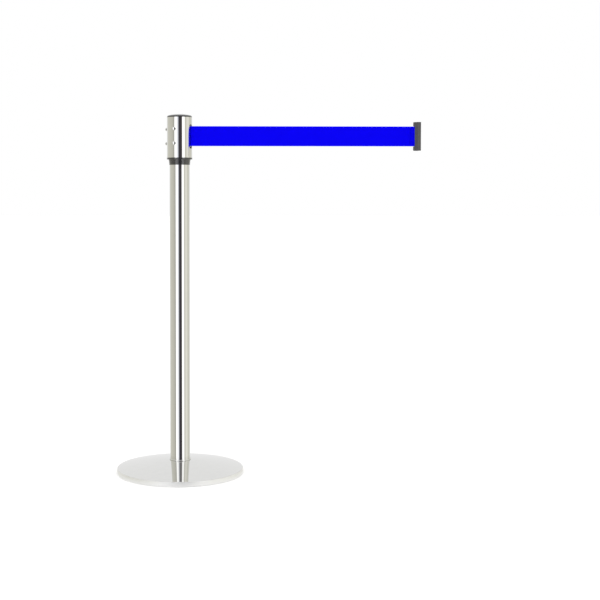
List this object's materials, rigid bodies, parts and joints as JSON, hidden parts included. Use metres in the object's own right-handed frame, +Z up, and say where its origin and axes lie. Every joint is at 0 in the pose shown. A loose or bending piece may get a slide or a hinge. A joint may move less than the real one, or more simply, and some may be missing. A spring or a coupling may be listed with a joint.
{
  "type": "retractable belt stanchion",
  "caption": "Queue post with a weighted round base, polished tube, and a reel head whose blue webbing is drawn out to its end clip.",
  "frame": {"origin": "on the floor, under the post's axis", "axes": "+Z up along the post, +X out of the belt mouth, +Y to the left seen from behind the mouth; the belt leaves turned 26 degrees from +X towards +Y"},
  "size_m": [0.7165, 0.4258, 0.91],
  "materials": {
    "polished_steel": "mirror polished stainless steel",
    "stud_steel": "bright turned steel",
    "zinc_steel": "zinc plated",
    "spring_steel": "blued spring steel",
    "cast_weight": "painted casting",
    "floor_rubber": "matt",
    "black_gloss": "glossy black",
    "black_matte": "moulded black",
    "reel_plastic": "natural moulding",
    "bush_plastic": "natural",
    "bush_brass": "turned",
    "grey_plastic": "moulded dark grey",
    "blue_webbing": "woven polyester webbing"
  },
  "bodies": {
    "post": {"base_cover": "polished_steel", "foot_ring": "polished_steel", "post_tube": "polished_steel", "head_shell": "polished_steel", "stud_pair_front": "stud_steel", "stud_pair_left": "stud_steel", "stud_pair_back": "stud_steel", "base_weight": "cast_weight", "floor_ring": "floor_rubber", "base_bolt": "zinc_steel", "base_washer": "zinc_steel", "base_lock_washer": "zinc_steel", "foot_plug": "zinc_steel", "top_plug": "zinc_steel", "spindle": "zinc_steel", "spindle_washer": "zinc_steel", "spindle_clip": "spring_steel", "guide_pins": "stud_steel", "cassette_screws": "zinc_steel", "neck_collar": "black_gloss", "top_cap": "black_gloss", "mouth_bezel": "black_matte", "cassette_frame": "black_matte", "cassette_top": "black_matte", "thrust_washer": "bush_plastic", "belt_feed": "blue_webbing"},
    "spool": {"spool_flange_lower": "reel_plastic", "spool_flange_upper": "reel_plastic", "spool_hub": "reel_plastic", "belt_anchor_rod": "zinc_steel", "wound_belt": "blue_webbing", "spool_bushes": "bush_brass", "spring_case": "zinc_steel", "spring_cover": "zinc_steel", "power_spring": "spring_steel"},
    "belt_run": {"belt_webbing": "blue_webbing"},
    "belt_end": {"belt_loop": "blue_webbing"},
    "clip": {"clip_body": "grey_plastic", "clip_hook_plate": "grey_plastic", "clip_pin": "stud_steel", "clip_plate_screws": "zinc_steel"}
  },
  "joints": [
    {"name": "belt_swing", "type": "hinge", "parent": "post", "child": "belt_run", "pos_m": [0.0286, 0, 0.854], "axis": [0, 0, 1], "range_deg": [-61, 9]},
    {"name": "belt_pull", "type": "slide", "parent": "belt_run", "child": "belt_end", "axis": [0.8988, 0.4384, 0], "range_m": [-0.554, 1.4], "stiffness_N_per_m": 3.58, "springref_m": -1.673, "deforming": ["belt_webbing"]},
    {"name": "clip_swivel", "type": "hinge", "parent": "belt_end", "child": "clip", "pos_m": [0.53992, 0.24939, 0.854], "axis": [0, 0, 1], "range_deg": [-39, 21]},
    {"name": "spool_turn", "type": "hinge", "parent": "post", "child": "spool", "pos_m": [0, 0, 0.854], "axis": [0, 0, 1], "range_deg": [-1710, 4290], "deforming": ["power_spring"]}
  ],
  "couplings": [
    {"joint": "spool_turn", "follows": "belt_pull", "rad_per_m": 53.3}
  ]
}
